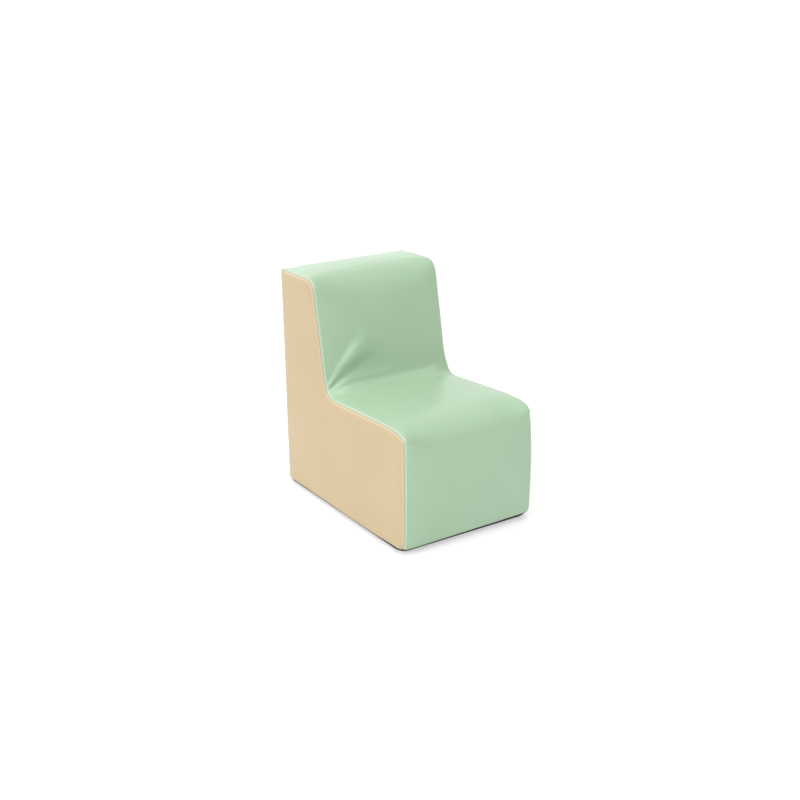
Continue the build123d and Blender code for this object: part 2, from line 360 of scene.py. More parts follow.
def woven(name, base, dark, scale=1400.0, rough=0.85):
    mat = bpy.data.materials.new(name)
    nt, sh = nodes_of(mat)
    co = object_coords(nt)
    wx = node(nt, "ShaderNodeTexWave", Scale=scale / 6.283, Distortion=0.4)
    wx.bands_direction = "X"
    wz = node(nt, "ShaderNodeTexWave", Scale=scale / 6.283, Distortion=0.4)
    wz.bands_direction = "Z"
    for w in (wx, wz):
        nt.links.new(co, w.inputs["Vector"])
    m = maths(nt, "MULTIPLY", wx.outputs[1], wz.outputs[1])
    nt.links.new(ramp(nt, m, [(0.0, dark), (0.8, base)]), sh.inputs["Base Color"])
    b = node(nt, "ShaderNodeBump", Strength=0.4, Distance=0.0002)
    nt.links.new(m, b.inputs["Height"])
    nt.links.new(b.outputs[0], sh.inputs["Normal"])
    sh.inputs["Roughness"].default_value = rough
    sh.inputs["Sheen Weight"].default_value = 0.15
    return mat


def metal(name):
    mat = bpy.data.materials.new(name)
    nt, sh = nodes_of(mat)
    co = object_coords(nt, (1, 1, 0.25))
    n1 = node(nt, "ShaderNodeTexNoise", Scale=2200.0, Detail=3.0)
    nt.links.new(co, n1.inputs["Vector"])
    n2 = node(nt, "ShaderNodeTexNoise", Scale=240.0, Detail=2.0)
    nt.links.new(co, n2.inputs["Vector"])
    nt.links.new(ramp(nt, n2.outputs[0], [(0.3, (0.52, 0.52, 0.50)), (0.7, (0.66, 0.66, 0.64))]), sh.inputs["Base Color"])
    sh.inputs["Metallic"].default_value = 1.0
    nt.links.new(maths(nt, "ADD", maths(nt, "MULTIPLY", n1.outputs[0], 0.18), 0.22), sh.inputs["Roughness"])
    b = node(nt, "ShaderNodeBump", Strength=0.15, Distance=0.0001)
    nt.links.new(n1.outputs[0], b.inputs["Height"])
    nt.links.new(b.outputs[0], sh.inputs["Normal"])
    return mat


def nylon(name, base, dark):
    mat = bpy.data.materials.new(name)
    nt, sh = nodes_of(mat)
    co = object_coords(nt)
    n1 = node(nt, "ShaderNodeTexNoise", Scale=500.0, Detail=2.0)
    nt.links.new(co, n1.inputs["Vector"])
    nt.links.new(ramp(nt, n1.outputs[0], [(0.3, dark), (0.7, base)]), sh.inputs["Base Color"])
    nt.links.new(maths(nt, "ADD", maths(nt, "MULTIPLY", n1.outputs[0], 0.1), 0.3), sh.inputs["Roughness"])
    return mat


def thread_mat(name, base, dark):
    mat = bpy.data.materials.new(name)
    nt, sh = nodes_of(mat)
    co = object_coords(nt)
    w = node(nt, "ShaderNodeTexWave", Scale=420.0, Distortion=1.0)
    w.bands_direction = "DIAGONAL"
    nt.links.new(co, w.inputs["Vector"])
    nt.links.new(ramp(nt, w.outputs[1], [(0.1, dark), (0.8, base)]), sh.inputs["Base Color"])
    b = node(nt, "ShaderNodeBump", Strength=0.5, Distance=0.0001)
    nt.links.new(w.outputs[1], b.inputs["Height"])
    nt.links.new(b.outputs[0], sh.inputs["Normal"])
    sh.inputs["Roughness"].default_value = 0.55
    sh.inputs["Sheen Weight"].default_value = 0.1
    return mat


def antislip(name):
    mat = bpy.data.materials.new(name)
    nt, sh = nodes_of(mat)
    co = object_coords(nt)
    n1 = node(nt, "ShaderNodeTexNoise", Scale=900.0, Detail=4.0, Roughness=0.7)
    nt.links.new(co, n1.inputs["Vector"])
    nt.links.new(ramp(nt, n1.outputs[0], [(0.25, (0.006, 0.008, 0.007)), (0.75, (0.020, 0.024, 0.021))]), sh.inputs["Base Color"])
    nt.links.new(maths(nt, "ADD", maths(nt, "MULTIPLY", n1.outputs[0], 0.2), 0.62), sh.inputs["Roughness"])
    b = node(nt, "ShaderNodeBump", Strength=0.5, Distance=0.0003)
    nt.links.new(n1.outputs[0], b.inputs["Height"])
    nt.links.new(b.outputs[0], sh.inputs["Normal"])
    return mat


def foam_mat(name):
    mat = bpy.data.materials.new(name)
    nt, sh = nodes_of(mat)
    co = object_coords(nt)
    v = node(nt, "ShaderNodeTexVoronoi", Scale=800.0)
    nt.links.new(co, v.inputs["Vector"])
    nt.links.new(ramp(nt, v.outputs[0], [(0.05, (0.62, 0.55, 0.33)), (0.6, (0.86, 0.80, 0.60))]), sh.inputs["Base Color"])
    b = node(nt, "ShaderNodeBump", Strength=0.6, Distance=0.0006)
    nt.links.new(v.outputs[0], b.inputs["Height"])
    nt.links.new(b.outputs[0], sh.inputs["Normal"])
    sh.inputs["Roughness"].default_value = 0.95
    return mat


# the seam lips of both take a painted highlight, the beige's stronger
MINT = coated_fabric("Mint coated fabric", (0.396, 0.560, 0.383), (0.384, 0.548, 0.371), (0.408, 0.572, 0.396), 0.30)
BEIGE = coated_fabric("Beige coated fabric", (0.528, 0.408, 0.234), (0.516, 0.396, 0.224), (0.540, 0.421, 0.246), 0.34, highlight_amount=0.15)
CHARCOAL = antislip("Charcoal anti-slip fabric")
FOAM = foam_mat("Polyurethane foam")
TAPE = woven("Zip tape weave", (0.34, 0.50, 0.33), (0.20, 0.31, 0.20))
COIL = nylon("Nylon coil", (0.42, 0.60, 0.41), (0.36, 0.53, 0.35))
METAL = metal("Nickel-plated zinc")
THREAD = thread_mat("Sewing thread", (0.46, 0.66, 0.44), (0.32, 0.48, 0.31))

# ---------------------------------------------------------------- front band
seam_rows, row_tag = contour(SEAM)
mid_rows, _ = contour(MIDDLE)
n_top = len(TOP_IN)
assert len(seam_rows) == len(mid_rows)
ROWS = len(seam_rows)

half = np.concatenate([LIP[:, 0], RUN, np.arange(33.0, 172.0, 4.6)])
cols_in = np.concatenate([half, [HW], half[::-1]])
side_sign = np.concatenate([-np.ones(len(half)), [0], np.ones(len(half))])
lip_out = np.concatenate([LIP[:, 1], np.full(len(half) - len(LIP), np.nan), [np.nan],
                          np.full(len(half) - len(LIP), np.nan), LIP[::-1, 1]])
COLS = len(cols_in)
x_cols = side_sign * (HW - cols_in)


def face_out(full, reach, a=cols_in, lip=lip_out):
    return np.where(np.isnan(lip), swell(a, full, reach), lip)


# unrolled coordinate: distance up the backrest (+) or out along the seat (-)
# from the sharp seat/back corner
def unrolled():
    s = np.zeros(ROWS)
    c = np.array(SEAM[1][0])
    for i, (seg, t) in enumerate(row_tag):
        y, z = seam_rows[i]
        if seg >= 2:
            s[i] = np.hypot(y - c[0], z - c[1]) if seg < 2.5 else 300 + (TOP - z) * 0 + (y - 110)
        elif seg == 1.5:
            s[i] = -SEAM[1][1] + (SEAM[1][1] + SEAM[1][2]) * t
        else:
            s[i] = -np.hypot(y - c[0], z - c[1]) if seg >= 1 else -320 - (280 - z)
    return s


S_ROW = unrolled()


def tangent_normals(rows):
    t = np.gradient(rows, axis=0)
    t /= np.linalg.norm(t, axis=1)[:, None] + 1e-12
    return np.column_stack([-t[:, 1], t[:, 0]])


w_mid = 1 - np.exp(-(np.maximum(cols_in - 2, 0) / 34.0) ** 1.6)
yz = seam_rows[:, None, :] + (mid_rows - seam_rows)[:, None, :] * w_mid[None, :, None]
# outward normals from the rows as they lie; the rolled end rows use the top's own
nrm = np.empty_like(yz)
body = ROWS - n_top
for j in range(COLS):
    r = yz[:, j]
    straight = r.copy()
    t = np.gradient(straight[: body + 1], axis=0)
    t /= np.linalg.norm(t, axis=1)[:, None] + 1e-12
    nrm[:body, j] = np.column_stack([-t[:body, 1], t[:body, 0]])
    nrm[body:, j] = (0.0, 1.0)
# blend the last rows of the crest to the flat top so no step shows
top_in = row_tag[body:, 1]
top_lip = np.full(ROWS, np.nan)
for i, q in enumerate(top_in):
    k = np.where(np.isclose(LIP[:, 0], q))[0]
    if len(k):
        top_lip[body + i] = LIP[k[0], 1]

FULL = 3.9
REACH = 9.0
b_cols = face_out(FULL, REACH)
b_rows = np.full(ROWS, FULL)
b_rows[body:] = np.where(np.isnan(top_lip[body:]), swell(top_in, FULL, REACH), top_lip[body:])
out = FULL - np.sqrt((FULL - b_cols[None, :]) ** 2 + (FULL - b_rows[:, None]) ** 2)

# crown of each face, largest in its middle
xn = 1 - (x_cols / HW) ** 2
seg, tt = row_tag[:, 0], row_tag[:, 1]
crown = np.zeros(ROWS)
zr, yr_ = seam_rows[:, 1], seam_rows[:, 0]
crown += 5.6 * np.where(seg <= 0.5, np.sin(np.pi * np.clip((zr - Z_HEM) / 276, 0, 1)) ** 1.0, 0)
crown += 1.8 * np.where((seg >= 0.5) & (seg <= 1.5), np.sin(np.pi * np.clip((yr_ - Y_FRONT) / 321, 0, 1)), 0)
crown += 5.2 * np.where((seg >= 1.5) & (seg <= 2.5), np.sin(np.pi * np.clip((zr - 275) / 266, 0, 1)), 0)
crown += 1.2 * np.where(seg >= 2.5, np.sin(np.pi * np.clip((yr_ - 105) / 155, 0, 1)), 0)
k = np.ones(9) / 9
crown = np.convolve(np.pad(crown, 4, mode="edge"), k, mode="valid")
out = out + crown[:, None] * xn[None, :]

# ------------------------------------------------------- cloth under pressure
def spline(xk, yk, x):
    """Natural cubic spline through (xk, yk), yk an array of columns, at x."""
    n = len(xk)
    h = np.diff(xk)
    a = np.zeros((n, n))
    r = np.zeros((n, yk.shape[1]))
    a[0, 0] = a[-1, -1] = 1.0
    for i in range(1, n - 1):
        a[i, i - 1], a[i, i], a[i, i + 1] = h[i - 1], 2 * (h[i - 1] + h[i]), h[i]
        r[i] = 6 * ((yk[i + 1] - yk[i]) / h[i] - (yk[i] - yk[i - 1]) / h[i - 1])
    m = np.linalg.solve(a, r)
    j = np.clip(np.searchsorted(xk, x) - 1, 0, n - 2)
    d = (x - xk[j])[:, None]
    hj = h[j][:, None]
    b = (yk[j + 1] - yk[j]) / hj - hj * (2 * m[j] + m[j + 1]) / 6
    return yk[j] + b * d + m[j] / 2 * d ** 2 + (m[j + 1] - m[j]) / (6 * hj) * d ** 3


def spaced(line, gap):
    """Arc lengths along a line of points, and indices about gap apart with both ends."""
    arc = np.concatenate([[0], np.cumsum(np.linalg.norm(np.diff(line, axis=0), axis=1))])
    pick = [0]
    for i in range(1, len(arc)):
        if arc[i] - arc[pick[-1]] >= gap:
            pick.append(i)
    pick[-1] = len(arc) - 1
    return arc, np.array(pick)


def settled(grid, name, gap, cap, slack, frames=18):
    """Run the panel as cloth, a coarse copy of it sewn fast all round and blown
    out by the foam behind it, and return how far each point of grid moves."""
    rows, cols = grid.shape[:2]
    arc_r, ri = spaced(grid[:, cols // 2], gap)
    arc_c, ci = spaced(grid[rows // 2], gap)
    rough = grid[np.ix_(ri, ci)]
    nr_, nc_ = rough.shape[:2]
    ob = make_object(name, rough.reshape(-1, 3), grid_faces(nr_, nc_), MINT)
    edge = np.minimum(np.minimum(np.arange(nr_), np.arange(nr_)[::-1])[:, None],
                      np.minimum(np.arange(nc_), np.arange(nc_)[::-1])[None, :]).ravel()
    vg = ob.vertex_groups.new(name="sewn")
    for i, e in enumerate(edge):
        vg.add([i], 1.0 if e <= 1 else 0.0, "REPLACE")
    md = ob.modifiers.new("Cloth", "CLOTH")
    st = md.settings
    st.quality = 6
    st.mass = 0.2
    st.air_damping = 2.0
    st.tension_stiffness = 22
    st.compression_stiffness = 22
    st.shear_stiffness = 6
    st.bending_stiffness = 1.2
    st.tension_damping = st.compression_damping = st.shear_damping = 12
    st.bending_damping = 1.0
    st.vertex_group_mass = "sewn"
    st.shrink_min = -slack
    st.use_pressure = True
    st.uniform_pressure_force = 4.0
    st.effector_weights.gravity = 0.0
    md.collision_settings.use_collision = False
    md.point_cache.frame_start = 1
    md.point_cache.frame_end = frames
    scene_ = bpy.context.scene
    for f in range(1, frames + 1):
        scene_.frame_set(f)
    ev = ob.evaluated_get(bpy.context.evaluated_depsgraph_get())
    co = np.empty(len(ev.data.vertices) * 3, np.float32)
    ev.data.vertices.foreach_get("co", co)
    moved = co.reshape(-1, 3).astype(float) / MM - rough.reshape(-1, 3)
    scene_.frame_set(1)
    data = ob.data
    bpy.data.objects.remove(ob)
    bpy.data.meshes.remove(data)
    far = np.linalg.norm(moved, axis=1, keepdims=True)
    print("cloth", name, nr_, nc_, "moved up to", round(float(far.max()), 2), "mean", round(float(far.mean()), 2))
    # the foam behind keeps the cover from blowing out as far as free cloth would
    moved, far = moved * 0.36, far * 0.36
    moved = np.nan_to_num(moved / np.maximum(far, 1e-9) * cap * np.tanh(far / cap))
    moved = moved.reshape(nr_, nc_ * 3)
    tall = spline(arc_r[ri], moved, arc_r).reshape(rows, nc_, 3).transpose(1, 0, 2).reshape(nc_, rows * 3)
    return spline(arc_c[ci], tall, arc_c).reshape(cols, rows, 3).transpose(1, 0, 2)


# folds that run out of the hollow corner on the left
X, S = np.meshgrid(x_cols, S_ROW)


def tuck(x0, s0, x1, s1, start, grow, steep, rise, fade0, fade1, under=0.45, bend=0.0):
    """A tension fold of the unrolled band, from (x0, s0) towards (x1, s1): a rounded
    ridge, narrow on its upper side, with a wide hollow on its lower side."""
    d = np.array([x1 - x0, s1 - s0], float)
    d /= np.hypot(*d)
    t = (X - x0) * d[0] + (S - s0) * d[1]
    r = -(X - x0) * d[1] + (S - s0) * d[0]
    r = r - bend * (np.clip(t, 0, fade1) / fade1) ** 2
    w = start + grow * np.clip(t, 0, fade1)
    u = r / w
    h = steep * w * smooth(t, -4, rise) * (1 - smooth(t, fade0, fade1))
    upper = 1 - smooth(u, 0.0, 1.25)
    lower = 1 - (1 + under) * smooth(-u, 0.0, 2.4) + under * smooth(-u, 2.4, 5.0)
    return h * np.where(u > 0, upper, lower)


folds = tuck(-175, 26, -62, 121, 3.0, 0.16, 0.44, 10, 75, 205, under=0.45, bend=8)
folds += tuck(-172, 10, -40, 60, 3.0, 0.10, 0.10, 16, 60, 150, under=0.6)
folds += tuck(174, 14, 60, 74, 3.5, 0.09, 0.07, 16, 60, 140, under=0.4)
edge_free = smooth(cols_in, 1.5, 9.0)
out = out + folds * edge_free[None, :]

P = np.empty((ROWS, COLS, 3))
P[..., 0] = x_cols[None, :]
P[..., 1:] = yz + nrm * out[..., None]
P = P + settled(P, "band_cloth", 9.0, 3.2, 0.003) * (smooth(cols_in, 5, 22)[None, :] * smooth(np.minimum(
    np.concatenate([[0], np.cumsum(np.linalg.norm(np.diff(seam_rows, axis=0), axis=1))]),
    np.cumsum(np.linalg.norm(np.diff(seam_rows, axis=0, append=seam_rows[-1:]), axis=1)[::-1])[::-1]), 6, 30)[:, None])[..., None]
flat = P.reshape(-1, 3)
wob = soft_noise(flat, 70.0, 1) * 0.55 + soft_noise(flat, 30.0, 2) * 0.22
wob = wob * (np.tile(edge_free, ROWS))
nn = np.zeros_like(P)
nn[..., 1:] = nrm
flat = flat + nn.reshape(-1, 3) * wob[:, None]
flat = drawn_in(flat)
band = make_object("cover_front_band", flat, grid_faces(ROWS, COLS, flip=False), MINT)
# painted highlight on the band's seam lips, painted shade down in its seam grooves
highlight_c = bump(cols_in, 2.6, 2.6)
highlight_r = np.zeros(ROWS)
highlight_r[body:] = bump(top_in, 2.6, 2.6)
# painted shade: how dark each lip row is painted, darkest down in the groove
groove_shade = 1 - smooth(LIP[:, 1], -0.9, 0.3)
groove_shade_c = np.concatenate([groove_shade, np.zeros(COLS - 2 * len(LIP)), groove_shade[::-1]])
groove_shade_r = np.zeros(ROWS)
groove_shade_r[-len(LIP):] = groove_shade[::-1]
set_painted_light(band, np.maximum(highlight_c[None, :], highlight_r[:, None]).ravel(), np.maximum(groove_shade_c[None, :], groove_shade_r[:, None]).ravel())
thicken(band)
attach(band, "cushion")
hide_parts("cover_front_band")

# ---------------------------------------------------------------- rear halves
E = np.array([Y_FOOT + LEAN, TOP])


def rear_point(x, n, s):
    """From the rear face's own frame (across, out, up) to the model's."""
    x, n, s = np.broadcast_arrays(x, n, s)
    return np.stack([x, Y_FOOT + n * CT + s * ST, s * CT - n * ST], -1)


S_TOP = TOP / CT
ZIP_LO, ZIP_HI, ZIP_GAP = 44.0, 500.0, 6.5
s_foot = Z_HEM + np.array([0, 0.3, 0.8, 1.5, 2.4, 3.6, 5.1, 7, 9.3, 12, 15.5, 20, 26])
s_lip = S_TOP - LIP[::-1, 0]
s_run = S_TOP - RUN[::-1]
s_mid = np.concatenate([np.linspace(38, 56, 10), np.linspace(61, 483, 86), np.linspace(488, 508, 11)])
s_all = np.concatenate([s_foot, s_mid, s_run[s_run > 510], s_lip])
top_b = np.concatenate([np.full(len(s_foot) + len(s_mid), np.nan), np.full(int((s_run > 510).sum()), np.nan), LIP[::-1, 1]])
FOLD = np.array([(1.6, -2.35), (0.8, -2.25), (0.25, -1.95), (0.05, -1.55), (0.0, -1.15), (0.06, -0.75),
                 (0.25, -0.42), (0.6, -0.16), (1.05, 0.0), (1.6, 0.12), (2.3, 0.2), (3.0, 0.22)])
zip_run = np.array([3.6, 4.4, 5.4, 6.6, 8.2, 10.5, 13.5, 17, 21, 26])


def rear_half(sign, name, node_name, seed):
    inner_in = np.concatenate([FOLD[:, 0], zip_run])
    n_i = len(inner_in)
    n_o = len(LIP) + len(RUN)
    rows = []
    outs = []
    mid_frac = np.linspace(0, 1, 24)[1:-1]
    for s, tb in zip(s_all, top_b):
        w = smooth(s, ZIP_LO - 9, ZIP_LO + 1) * (1 - smooth(s, ZIP_HI - 1, ZIP_HI + 9))
        edge = ZIP_GAP * w
        fa = FOLD * w + LIP * (0.43, 0.5) * (1 - w)
        xi = edge + np.concatenate([fa[:, 0], zip_run])
        xo = HW - np.concatenate([LIP[:, 0], RUN])[::-1]
        lo, hi = xi[-1], xo[0]
        xs = np.concatenate([xi, lo + (hi - lo) * mid_frac, xo])
        full = 3.9
        bi = np.full(len(xs), full)
        a_i = xs - edge
        bi = fa[-1, 1] + (full - fa[-1, 1]) * (1 - np.exp(-np.maximum(a_i - 3.0, 0) / 26.0))
        bi[: len(FOLD)] = fa[:, 1]
        # the row of stitches pulls the fabric down
        bi = bi - w * 0.42 * np.exp(-((a_i - 3.05) / 0.9) ** 2)
        a_o = HW - xs
        bo = swell(a_o, full, 9.0)
        bo[-len(LIP):] = LIP[::-1, 1]
        q = S_TOP - s
        bt = swell(np.array(q), full, 9.0) if np.isnan(tb) else tb
        b = full - np.sqrt((full - bi) ** 2 + (full - bo) ** 2 + (full - bt) ** 2)
        crown_x = np.sin(np.pi * np.clip((xs - edge) / (HW - edge), 0, 1))
        b = b + 1.4 * crown_x * np.sin(np.pi * np.clip(s / S_TOP, 0, 1))
        rows.append(xs)
        outs.append(b)
    xs, b = np.array(rows), np.array(outs)
    s = np.repeat(s_all[:, None], xs.shape[1], 1)
    p = rear_point(sign * xs, b, s)
    if sign > 0:
        blown = settled(p[:, ::-1], name + "_cloth", 8.0, 2.6, 0.004)[:, ::-1]
    else:
        blown = settled(p, name + "_cloth", 8.0, 2.6, 0.004)
    hold = smooth(HW - xs, 5, 22) * smooth(xs, 24, 46) * smooth(S_TOP - s, 5, 26) * smooth(s, Z_HEM + 4, Z_HEM + 34)
    p = (p + blown * hold[..., None]).reshape(-1, 3)
    free = (smooth(HW - xs, 1.5, 10) * smooth(xs, 14, 30)).reshape(-1)
    wob = (soft_noise(p, 75.0, seed) * 0.7 + soft_noise(p, 28.0, seed + 1) * 0.2) * free
    p = p + wob[:, None] * np.array([0, CT, -ST])
    p = drawn_in(p)
    ob = make_object(name, p, grid_faces(len(s_all), xs.shape[1], flip=sign > 0), MINT)
    edge_in = np.minimum(HW - xs, S_TOP - s)
    # painted highlight on the seam lips, painted shade in the grooves of the side and top seams
    set_painted_light(ob, bump(edge_in, 2.6, 2.6).ravel(), (1 - smooth(b, -0.9, 0.3)).ravel() * (edge_in < 4).ravel())
    thicken(ob)
    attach(ob, "cushion")
    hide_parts(node_name)
    return ob


rear_l = rear_half(-1, "cover_rear_left", "cover_rear_left", 11)
rear_r = rear_half(1, "cover_rear_right", "cover_rear_right", 17)

# ---------------------------------------------------------------- side panels
# Outline: the band's seam line, round the top rear corner, down the rear.
er = 3.0
corner_pts = []
for t in np.linspace(0, math.pi / 2, 7):
    corner_pts.append((E[0] - er + er * math.sin(t), E[1] - er + er * math.cos(t)))
seam_line = []
for i in range(ROWS):
    if seg[i] < 3:
        seam_line.append(seam_rows[i])
last = seam_line[-1]
length = E[0] - er - last[0]
nseg = int(length / 3.5)
for i in range(1, nseg):
    seam_line.append(np.array([last[0] + length * i / nseg, TOP + (last[1] - TOP) * (1 - i / nseg)]))
seam_line += [np.array(c) for c in corner_pts]
down = np.linspace(TOP - er - 3.5, 48, 140)
foot = [43, 38, 33, 28.5, 24.5, 21, 18, 15.3, 13.3, 12, 11, 10.4, Z_HEM]
for z in list(down) + foot:
    seam_line.append(np.array([Y_FOOT + LEAN * z / TOP, z]))
seam_line = np.array(seam_line)
tan = np.gradient(seam_line, axis=0)
tan /= np.linalg.norm(tan, axis=1)[:, None]
inw = np.column_stack([tan[:, 1], -tan[:, 0]])      # into the panel
inw[0] = (1.0, 0.0)
inw[-1] = (-1.0, 0.0)
NB = len(seam_line)


def nearest(points, line):
    out = np.empty(len(points))
    a, b = line[:-1], line[1:]
    d = b - a
    l2 = (d ** 2).sum(1) + 1e-12
    for i in range(0, len(points), 400):
        q = points[i:i + 400][:, None]
        t = np.clip(((q - a) * d).sum(2) / l2, 0, 1)
        c = a + t[..., None] * d
        out[i:i + 400] = np.sqrt(((q - c) ** 2).sum(2)).min(1)
    return out


def inside_of(pts, poly):
    inside = np.zeros(len(pts), bool)
    j = len(poly) - 1
    for i in range(len(poly)):
        a, b = poly[i], poly[j]
        cond = (a[1] > pts[:, 1]) != (b[1] > pts[:, 1])
        with np.errstate(divide="ignore", invalid="ignore"):
            xint = (b[0] - a[0]) * (pts[:, 1] - a[1]) / (b[1] - a[1]) + a[0]
        inside ^= cond & (pts[:, 0] < xint)
        j = i
    return inside


def membrane():
    """Height of a sheet over the side outline under even pressure, 0 to 1."""
    h = 6.0
    ys = np.arange(Y_FRONT, Y_FOOT + LEAN + h, h)
    zs = np.arange(-30.0, TOP + h, h)
    yy, zz = np.meshgrid(ys, zs)
    pts = np.column_stack([yy.ravel(), zz.ravel()])
    poly = np.vstack([seam_line, [[Y_FOOT, -30], [Y_FRONT, -30]]])
    inside = inside_of(pts, poly).reshape(yy.shape)
    u = np.zeros(yy.shape)
    for _ in range(2600):
        u[1:-1, 1:-1] = 0.25 * (u[2:, 1:-1] + u[:-2, 1:-1] + u[1:-1, 2:] + u[1:-1, :-2]) + 1.0
        u[~inside] = 0
    u /= u.max()
    return ys, zs, u


MEM = membrane()


def membrane_at(p):
    ys, zs, u = MEM
    fy = np.clip((p[:, 0] - ys[0]) / (ys[1] - ys[0]), 0, len(ys) - 1.001)
    fz = np.clip((p[:, 1] - zs[0]) / (zs[1] - zs[0]), 0, len(zs) - 1.001)
    i, j = fy.astype(int), fz.astype(int)
    a, b = fy - i, fz - j
    return (u[j, i] * (1 - a) * (1 - b) + u[j, i + 1] * a * (1 - b) + u[j + 1, i] * (1 - a) * b + u[j + 1, i + 1] * a * b)


CORNER = slice(len(seam_line) - 7 - len(down) - len(foot), len(seam_line) - len(down) - len(foot))


def inset_line(a):
    """The outline set in by a. At the top rear corner, tighter than the inset,
    its neighbours make room so that the line doesn't cross itself."""
    q = seam_line + inw * a
    rho = max(er - a, 0.3)
    room = 22.0
    i0, i1 = CORNER.start, CORNER.stop
    th = np.linspace(0, math.pi / 2, i1 - i0)
    q[i0:i1, 0] = E[0] - a - rho + rho * np.sin(th)
    q[i0:i1, 1] = E[1] - a - rho + rho * np.cos(th)
    for idx, axis in ((range(i0 - 1, 0, -1), 0), (range(i1, len(seam_line)), 1)):
        for i in idx:
            u = E[axis] - seam_line[i][axis]
            if axis == 1:
                u = E[1] - seam_line[i][1]
            if u >= room:
                break
            q[i, axis] = E[axis] - ((a + rho) + (u - er) * (room - (a + rho)) / (room - er))
    return q


def side_geometry():
    K = len(LIP)
    strips = [inset_line(LIP[k, 0]) for k in range(K)]
    ring = strips[-1]
    pts2 = [tuple(p) for p in ring]
    edges = [(i, i + 1) for i in range(NB - 1)]
    bottom = [(y, Z_HEM) for y in np.linspace(ring[-1][0], ring[0][0], 84)[1:-1]]
    nb0 = len(pts2)
    pts2 += bottom
    chain = [NB - 1] + list(range(nb0, nb0 + len(bottom))) + [0]
    edges += list(zip(chain[:-1], chain[1:]))
    cand, need = [], []
    RINGS = {a: inset_line(a) for a in RUN}
    for a in RUN:
        step = 1 if a < 12 else 2
        for i in range(0, NB, step):
            cand.append(RINGS[a][i])
            need.append(a - 0.03 * a - 0.05)
    foot_z = Z_HEM + np.array([0.5, 1.2, 2.2, 3.5, 5.2, 7.4, 10.2, 13.5, 17.5, 22, 27])
    for z in foot_z:
        for y in np.arange(Y_FRONT + 3, Y_FOOT + 9, 6.0):
            cand.append(np.array([y, z]))
            need.append(30.5)
    gy = np.arange(Y_FRONT + 3, Y_FOOT + 9, 5.6)
    for jz, z in enumerate(np.arange(Z_HEM + 32.5, TOP, 5.2)):
        for y in gy:
            cand.append(np.array([y + (2.8 if jz % 2 else 0.0), z]))
            need.append(31.0)
    cand, need = np.array(cand), np.array(need)
    d = nearest(cand, seam_line)
    ok = (d >= need) & (cand[:, 1] > Z_HEM + 0.2)
    # drop points outside the outline
    poly = np.array(list(ring) + bottom)
    ok &= inside_of(cand, poly)
    pts2 += [tuple(c) for c in cand[ok]]
    res = delaunay_2d_cdt([Vector(p) for p in pts2], edges, [], 1, 1e-4, True)
    verts, _, tris, orig = res[0], res[1], res[2], res[3]
    v2 = np.array([(v.x, v.y) for v in verts])
    # the hollow between seat and backrest is outside the panel
    mid = np.array([np.mean([(verts[i].x, verts[i].y) for i in t], axis=0) for t in tris])
    keep = inside_of(mid, poly)
    tris = [t for t, k_ in zip(tris, keep) if k_]
    # ring vertices keep their index so that the lip strips can be stitched on
    ring_of = {}
    for i, o in enumerate(orig):
        for q in o:
            if q < NB:
                ring_of[q] = i
    return strips, v2, tris, ring_of


STRIPS, V2, TRIS, RING_OF = side_geometry()


def side_panel(sign, name, seed):
    full, reach = 3.9, 8.0
    d = nearest(V2, seam_line)
    q = swell(d, full, reach) + 3.0 * membrane_at(V2) ** 0.8
    inner = np.column_stack([np.zeros(len(V2)) + (HW + q), V2])
    K = len(LIP)
    pts = [inner]
    index = [None] * K
    base = len(inner)
    for k in range(K - 1):
        m = 3.0 * membrane_at(STRIPS[k]) ** 0.8
        pts.append(np.column_stack([HW + LIP[k, 1] + m * 0, STRIPS[k]]))
        index[k] = np.arange(base, base + NB)
        base += NB
    index[K - 1] = np.array([RING_OF[i] for i in range(NB)])
    p = np.vstack(pts)
    free = np.zeros(len(p))
    free[: len(inner)] = smooth(d, 3.0, 14.0)
    p3 = np.column_stack([p[:, 0] * sign, p[:, 1], p[:, 2]])
    wob = (soft_noise(p3, 80.0, seed) * 0.7 + soft_noise(p3, 32.0, seed + 1) * 0.25) * free
    p3[:, 0] += sign * wob
    p3 = drawn_in(p3)
    faces = []
    flip = sign < 0
    for t in TRIS:
        a, b, c = (V2[i] for i in t[:3])
        area = (b[0] - a[0]) * (c[1] - a[1]) - (b[1] - a[1]) * (c[0] - a[0])
        t = list(t) if area > 0 else list(t)[::-1]      # counter-clockwise in (y, z): faces +X
        faces.append(t[::-1] if flip else t)
    for k in range(K - 1):
        o, i = index[k], index[k + 1]
        for j in range(NB - 1):
            f = [o[j], i[j], i[j + 1], o[j + 1]]
            a = p3[f[0]]
            faces.append(f if not flip else f[::-1])
    ob = make_object(name, p3, faces, BEIGE)
    # painted highlight on the side panel's seam lips, painted shade down in its groove
    painted_highlight = np.concatenate([bump(d, 2.4, 2.2)] + [np.full(NB, bump(LIP[k, 0], 2.4, 2.2)) for k in range(K - 1)])
    deep = np.concatenate([np.zeros(len(inner))] + [np.full(NB, groove_shade[k]) for k in range(K - 1)])
    set_painted_light(ob, painted_highlight, deep)
    thicken(ob)
    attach(ob, "cushion")
    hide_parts(name)
    return ob


side_l = side_panel(-1, "cover_left_side", 23)
side_r = side_panel(1, "cover_right_side", 29)

# ------------------------------------------------------------------ base panel
def base_ring(inset, z):
    """Outline of the base's wall at height z, walked round, set in by inset."""
    n = 60
    xs = np.concatenate([np.linspace(-1, 1, n)[:-1], np.ones(n - 1), np.linspace(1, -1, n)[:-1], -np.ones(n - 1)])
    ys = np.concatenate([-np.ones(n - 1), np.linspace(-1, 1, n)[:-1], np.ones(n - 1), np.linspace(1, -1, n)[:-1]])
    p = np.column_stack([xs * (HW - inset), -5 + ys * (255 - inset), np.full(len(xs), float(z))])
    return drawn_in(p)


